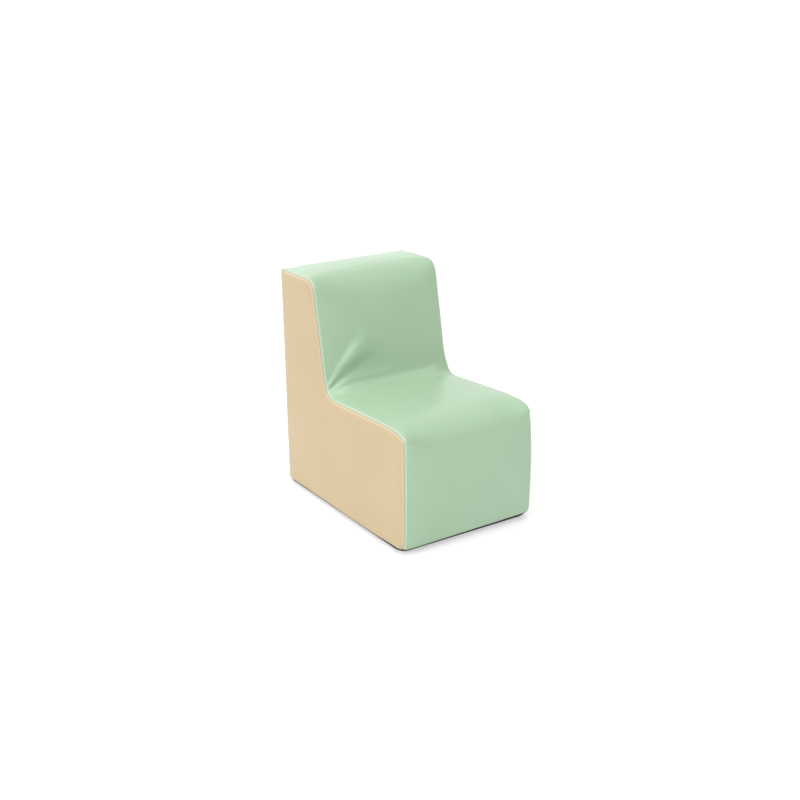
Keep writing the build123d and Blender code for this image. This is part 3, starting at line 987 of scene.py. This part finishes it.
steps = [(3.4, Z_HEM + 1.8), (2.0, Z_HEM + 1.2), (1.2, Z_HEM + 0.3), (0.7, 9.2), (0.5, 8.0), (0.5, 6.6), (0.5, 5.2),
         (0.5, 3.9), (0.5, 2.8), (0.5, 1.9), (0.7, 1.2), (1.2, 0.8), (3, 0.6), (8, 0.55), (30, 0.5), (80, 0.5)]
rings = [base_ring(i, z) for i, z in steps]
nr = len(rings[0])
bp = np.vstack(rings)
bf = []
for r in range(len(rings) - 1):
    for j in range(nr):
        a, b = r * nr + j, r * nr + (j + 1) % nr
        bf.append([b, a, a + nr, b + nr])
bf.append(list(range((len(rings) - 1) * nr, len(rings) * nr)))
# small round grip dots under the fabric, down to the floor
dots, dfaces = [], []
base_n = len(bp)
for iy, y in enumerate(np.arange(-238, 232, 9.0)):
    for x in np.arange(-156, 157, 9.0):
        xx = x + (4.5 if iy % 2 else 0)
        if abs(xx) > 160:
            continue
        k0 = base_n + len(dots)
        for rad, z in ((1.9, 0.55), (1.55, 0.12), (1.0, 0.0)):
            for t in range(8):
                dots.append((xx + rad * math.cos(t * math.pi / 4), y + rad * math.sin(t * math.pi / 4), z))
        for lv in range(2):
            for t in range(8):
                a, b = k0 + lv * 8 + t, k0 + lv * 8 + (t + 1) % 8
                dfaces.append([b, a, a + 8, b + 8])
        dfaces.append([k0 + 16 + t for t in range(8)][::-1])
bp = np.vstack([bp, np.array(dots)])
base = make_object("base_panel", bp, bf + dfaces, CHARCOAL)
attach(base, "cushion")
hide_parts("base_panel")

# ------------------------------------------------------------------ foam core
def foam_block():
    pts, faces = [], []
    ins = 9.0
    line = []
    for i in range(0, ROWS - n_top, 2):
        line.append(seam_rows[i] + inw[i] * ins)
    line = [p for p in line if p[1] > 14]
    line = [np.array([Y_FRONT + 15, 3.0]), np.array([Y_FRONT + 10, 8.0])] + line
    line += [np.array([Y_FOOT + LEAN - ins - 6, TOP - ins]), np.array([Y_FOOT + LEAN - ins, TOP - ins - 6]),
             np.array([Y_FOOT - ins - 1, 9.0]), np.array([Y_FOOT - ins - 6, 3.0])]
    line = np.array(line)
    xs = [-HW + ins, -HW + ins + 3, -120, -60, 0, 60, 120, HW - ins - 3, HW - ins]
    n = len(line)
    t = np.roll(line, -1, 0) - np.roll(line, 1, 0)
    t /= np.linalg.norm(t, axis=1)[:, None]
    nv = np.column_stack([t[:, 1], -t[:, 0]])
    for i, x in enumerate(xs):
        off = 3.0 if i in (0, len(xs) - 1) else 0.0
        q = line + nv * off
        pts.append(np.column_stack([np.full(n, x), q]))
    pts = np.vstack(pts)
    for i in range(len(xs) - 1):
        for j in range(n):
            a, b = i * n + j, i * n + (j + 1) % n
            faces.append([a, b, b + n, a + n])
    faces.append(list(range(n))[::-1])
    faces.append(list(range((len(xs) - 1) * n, len(xs) * n)))
    return pts, faces


fp, ff = foam_block()
foam = make_object("foam_core", fp, ff, FOAM)
foam_bevel = foam.modifiers.new("Cut edge", "BEVEL")
foam_bevel.width = 0.002
foam_bevel.segments = 2
foam_bevel.limit_method = "ANGLE"
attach(foam, "cushion")
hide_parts("foam_core")

# ------------------------------------------------------------------- threads
def tube(line, radius, sides=6, closed=False):
    line = np.asarray(line, float)
    t = np.gradient(line, axis=0)
    if closed:
        t = np.roll(line, -1, 0) - np.roll(line, 1, 0)
    t /= np.linalg.norm(t, axis=1)[:, None] + 1e-12
    ref = np.array([0.31, 0.42, 0.85])
    u = np.cross(t, ref)
    u /= np.linalg.norm(u, axis=1)[:, None]
    v = np.cross(t, u)
    ang = np.linspace(0, 2 * math.pi, sides, endpoint=False)
    rings = line[:, None] + radius * (np.cos(ang)[None, :, None] * u[:, None] + np.sin(ang)[None, :, None] * v[:, None])
    n = len(line)
    pts = rings.reshape(-1, 3)
    faces = []
    for i in range(n if closed else n - 1):
        for j in range(sides):
            a, b = i * sides + j, i * sides + (j + 1) % sides
            c, d = ((i + 1) % n) * sides + (j + 1) % sides, ((i + 1) % n) * sides + j
            faces.append([a, b, c, d])
    if not closed:
        faces.append(list(range(sides))[::-1])
        faces.append(list(range((n - 1) * sides, n * sides)))
    return pts, faces


def seam_thread(sign, name):
    """Sewing thread deep in the side seam's groove, dipping at every stitch."""
    q = seam_line + inw * 2.9
    p = np.column_stack([np.full(len(q), sign * (HW - 2.9)), q])
    arc = np.concatenate([[0], np.cumsum(np.linalg.norm(np.diff(p, axis=0), axis=1))])
    s = np.arange(6.0, arc[-1] - 6.0, 1.2)
    line = np.column_stack([np.interp(s, arc, p[:, i]) for i in range(3)])
    dip = 0.25 * np.cos(s * 2 * math.pi / 3.6)
    line[:, 0] += sign * dip * 0.7
    line = drawn_in(line)
    pts, faces = tube(line, 0.28, 5)
    ob = make_object(name, pts, faces, THREAD)
    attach(ob, "cushion")
    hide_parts(name)


seam_thread(-1, "seam_thread_left")
seam_thread(1, "seam_thread_right")

xs = np.arange(-168, 168.1, 1.2)
line = np.column_stack([xs, np.full(len(xs), Y_FOOT + LEAN - 2.9) + 0.2 * np.cos(xs * 1.75), np.full(len(xs), TOP - 2.9)])
pts, faces = tube(line, 0.28, 5)
ob = make_object("seam_thread_top", pts, faces, THREAD)
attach(ob, "cushion"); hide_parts("seam_thread_top")

hem = base_ring(3.0, Z_HEM + 0.6)
arc = np.concatenate([[0], np.cumsum(np.linalg.norm(np.diff(np.vstack([hem, hem[:1]]), axis=0), axis=1))])
hs = np.arange(0, arc[-1] - 0.6, 1.2)
hem2 = np.vstack([hem, hem[:1]])
line = np.column_stack([np.interp(hs, arc, hem2[:, i]) for i in range(3)])
line[:, 2] += 0.2 * np.cos(hs * 1.75)
pts, faces = tube(line, 0.28, 5, closed=True)
ob = make_object("seam_thread_base", pts, faces, THREAD)
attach(ob, "cushion"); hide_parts("seam_thread_base")


def stitches(sign, name):
    """Visible lockstitches beside the zip: each a short raised thread, tucked in at both ends."""
    pts, faces = [], []
    n0 = 0
    sides = 7
    for i in range(110):
        s = ZIP_LO - 1.0 + 2.4 + i * 4.2
        if s + 1.7 > ZIP_HI + 3.0:
            break
        t = np.linspace(-1, 1, 7)
        lift = 0.28 * (1 - t ** 4) - 0.32
        line = rear_point(sign * (9.55 + 0.06 * t), lift + 0.1, s + t * 1.75)
        p, f = tube(line, 0.33, sides)
        p = p.reshape(-1, sides, 3)
        c = line[:, None, :]
        k = np.array([0.45, 0.85, 1.0, 1.0, 1.0, 0.85, 0.45])[:, None, None]
        p = (c + (p - c) * k).reshape(-1, 3)
        pts.append(p)
        faces += [[a + n0 for a in ff_] for ff_ in f]
        n0 += len(p)
    ob = make_object(name, np.vstack(pts), faces, THREAD)
    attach(ob, "cushion")
    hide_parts(name)


stitches(-1, "zip_stitches_left")
stitches(1, "zip_stitches_right")


# ------------------------------------------------------------------------ zip
def coil(sign, name):
    """Flattened nylon spiral on the tape's face; its heads lie on the middle line."""
    pitch = 1.55
    turns = int((ZIP_HI - ZIP_LO - 2.0) / pitch)
    per = 14
    k = np.arange(turns * per)
    ph = k / per * 2 * math.pi
    # section of the loop: flat and long across, heads thickened towards the middle
    cx = np.cos(ph)
    cn = np.sin(ph)
    xx = 2.13 - 1.33 * np.sign(cx) * np.abs(cx) ** 0.75
    nn_ = -1.06 + 0.78 * np.sign(cn) * np.abs(cn) ** 0.9
    ss = ZIP_LO + 1.0 + (0.25 if sign > 0 else 0.25 + pitch / 2) + k / per * pitch
    line = rear_point(sign * xx, nn_, ss)
    p, f = tube(line, 0.34, 5)
    ob = make_object(name, p, f, COIL)
    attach(ob, "cushion")
    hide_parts(name)


coil(-1, "zip_coil_left")
coil(1, "zip_coil_right")

for n, m in (("zip_tape_left", TAPE), ("zip_tape_right", TAPE), ("zip_slider", METAL), ("zip_pull", METAL),
             ("zip_stop_upper", METAL), ("zip_stops_lower", METAL)):
    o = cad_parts[n]
    for slot_ in o.material_slots:
        slot_.material = m
    if not o.material_slots:
        o.data.materials.append(m)

# --------------------------------------------------------- stage, light, camera
floor_me = bpy.data.meshes.new("floor")
r = 60.0
floor_me.from_pydata([(-r, -r, 0), (r, -r, 0), (r, r, 0), (-r, r, 0)], [], [(0, 1, 2, 3)])
floor = bpy.data.objects.new("floor", floor_me)
bpy.context.scene.collection.objects.link(floor)
fm = bpy.data.materials.new("Pale floor")
nt, sh = nodes_of(fm)
co = object_coords(nt)
fn = node(nt, "ShaderNodeTexNoise", Scale=3.0, Detail=2.0)
nt.links.new(co, fn.inputs["Vector"])
nt.links.new(ramp(nt, fn.outputs[0], [(0.3, (0.515, 0.515, 0.520)), (0.7, (0.525, 0.525, 0.530))]), sh.inputs["Base Color"])
sh.inputs["Roughness"].default_value = 0.7
sh.inputs["Specular IOR Level"].default_value = 0.2
sh.inputs["Emission Color"].default_value = (1.0, 1.0, 1.0, 1.0)
sh.inputs["Emission Strength"].default_value = 0.50
floor_me.materials.append(fm)

scene = bpy.context.scene
world = bpy.data.worlds.new("Studio")
scene.world = world
world.use_nodes = True
wn = world.node_tree
bg = wn.nodes["Background"]
bg.inputs[0].default_value = (1.0, 1.0, 1.0, 1.0)
# soft white surround: a broad lobe of light from each side
wtc = wn.nodes.new("ShaderNodeTexCoord")
total = None
for direction, amount in (((0, -1, 0), 0.18), ((0, 1, 0), 1.70), ((-1, 0, 0), 0.38), ((1, 0, 0), 0.38), ((0, 0, 1), 0.60)):
    dot = wn.nodes.new("ShaderNodeVectorMath")
    dot.operation = "DOT_PRODUCT"
    dot.inputs[1].default_value = direction
    wn.links.new(wtc.outputs["Generated"], dot.inputs[0])
    pos_ = maths(wn, "MAXIMUM", dot.outputs["Value"], 0.0)
    lobe = maths(wn, "MULTIPLY", maths(wn, "POWER", pos_, 2.0), amount)
    total = lobe if total is None else maths(wn, "ADD", total, lobe)
# seen by the camera itself, the surround is plain white
seen = wn.nodes.new("ShaderNodeLightPath")
wn.links.new(maths(wn, "MAXIMUM", total, seen.outputs["Is Camera Ray"]), bg.inputs[1])


def sun(name, direction, strength, angle):
    d = bpy.data.lights.new(name, "SUN")
    d.energy = strength
    d.angle = math.radians(angle)
    o = bpy.data.objects.new(name, d)
    scene.collection.objects.link(o)
    o.rotation_euler = (-Vector(direction)).to_track_quat("-Z", "Y").to_euler()
    return o


sun("Left softbox", (-1.0, -0.1, 0.6), 1.30, 36)
sun("Front softbox", (-0.25, -0.8, 1.0), 0.84, 40)
sun("Overhead softbox", (0.0, 0.0, 1.0), 0.80, 40)

# Camera: the photograph's own viewing angle, fitted to the chair's edges.
AZ, EL = math.radians(-33.997), math.radians(19.681)
back = Vector((math.sin(AZ) * math.cos(EL), -math.cos(AZ) * math.cos(EL), math.sin(EL)))
right = Vector((math.cos(AZ), math.sin(AZ), 0.0))
up = back.cross(right)
roll = -0.00133785
r2 = math.cos(roll) * right + math.sin(roll) * up
u2 = -math.sin(roll) * right + math.cos(roll) * up
cam_data = bpy.data.cameras.new("Camera")
cam = bpy.data.objects.new("Camera", cam_data)
scene.collection.objects.link(cam)
pos = Vector((-1.52626, -2.24906, 1.22305))
m = Matrix((r2, u2, back)).transposed().to_4x4()
m.translation = pos
cam.matrix_world = m
cam_data.sensor_width = 36.0
cam_data.lens = 1218.1646 * 36.0 / 800.0
cam_data.clip_end = 60.0
scene.camera = cam
scene.view_settings.view_transform = "Standard"
scene.view_settings.look = "None"
